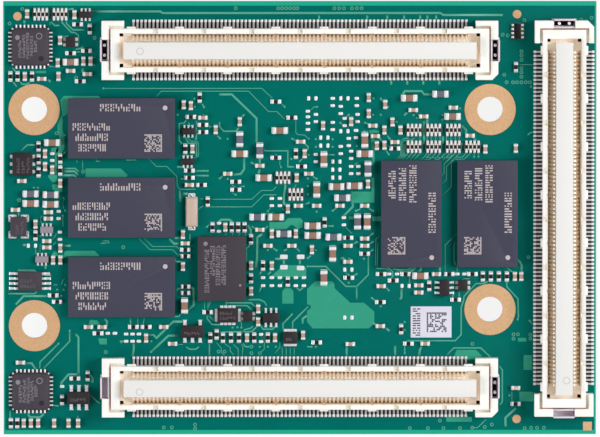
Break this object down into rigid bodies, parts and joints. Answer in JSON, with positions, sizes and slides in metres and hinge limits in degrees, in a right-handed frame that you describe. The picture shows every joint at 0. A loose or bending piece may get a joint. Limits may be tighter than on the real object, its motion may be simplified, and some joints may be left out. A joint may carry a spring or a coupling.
{
  "type": "system on module",
  "caption": "Rectangular circuit board module with long mezzanine connectors, memory packages and small parts on one face, a lidded processor on the other, and plated mounting holes.",
  "frame": {"origin": "middle of the board's outline, at the face of the processor's lid that it lies on", "axes": "+X along the paired connectors, +Y towards the connector at the top of the picture, +Z out of the connector face"},
  "size_m": [0.074, 0.054, 0.0089],
  "materials": {
    "board_green": "solder mask",
    "gold": "satin gold plate",
    "tin": "bright tin",
    "connector_plastic": "moulded",
    "contact_gold": "gold plate",
    "memory_mould": "moulded",
    "black_mould": "moulded",
    "capacitor_brown": "fired",
    "resistor_black": "glazed top",
    "bead_grey": "fired",
    "crystal_ceramic": "fired",
    "crystal_metal": "plated lid",
    "sticker_paper": "matt print",
    "substrate_green": "laminate",
    "lid_metal": "nickel plate",
    "ferrite": "pressed"
  },
  "bodies": {
    "root": {"circuit_board": "board_green", "plated_holes": "gold", "fiducials": "gold", "bare_lands": "tin", "connector_a_housing": "connector_plastic", "connector_a_contacts": "contact_gold", "connector_a_ground_plates": "contact_gold", "connector_a_hold_downs": "tin", "connector_b_housing": "connector_plastic", "connector_b_contacts": "contact_gold", "connector_b_ground_plates": "contact_gold", "connector_b_hold_downs": "tin", "connector_c_housing": "connector_plastic", "connector_c_contacts": "contact_gold", "connector_c_ground_plates": "contact_gold", "connector_c_hold_downs": "tin", "memory_1": "memory_mould", "memory_2": "memory_mould", "memory_3": "memory_mould", "memory_4": "memory_mould", "memory_5": "memory_mould", "memory_balls": "tin", "boot_flash": "black_mould", "flash_balls": "tin", "network_chip_1": "black_mould", "network_chip_2": "black_mould", "network_chip_lands": "tin", "small_outline_chips": "black_mould", "small_outline_leads": "tin", "leadless_chips": "black_mould", "leadless_lands": "tin", "oscillators": "black_mould", "oscillator_feet": "tin", "crystal_base": "crystal_ceramic", "crystal_lid": "crystal_metal", "crystal_terminals": "tin", "small_capacitors": "capacitor_brown", "small_capacitor_ends": "tin", "large_capacitors": "capacitor_brown", "large_capacitor_ends": "tin", "resistors": "resistor_black", "resistor_ends": "tin", "beads": "bead_grey", "bead_ends": "tin", "resistor_networks": "resistor_black", "network_ends": "tin", "sticker": "sticker_paper", "processor_substrate": "substrate_green", "processor_lid": "lid_metal", "processor_balls": "tin", "rear_memory_1": "memory_mould", "rear_memory_2": "memory_mould", "storage_flash": "black_mould", "inductors": "ferrite", "inductor_terminals": "tin", "converter_chips": "black_mould", "converter_lands": "tin"}
  },
  "joints": []
}
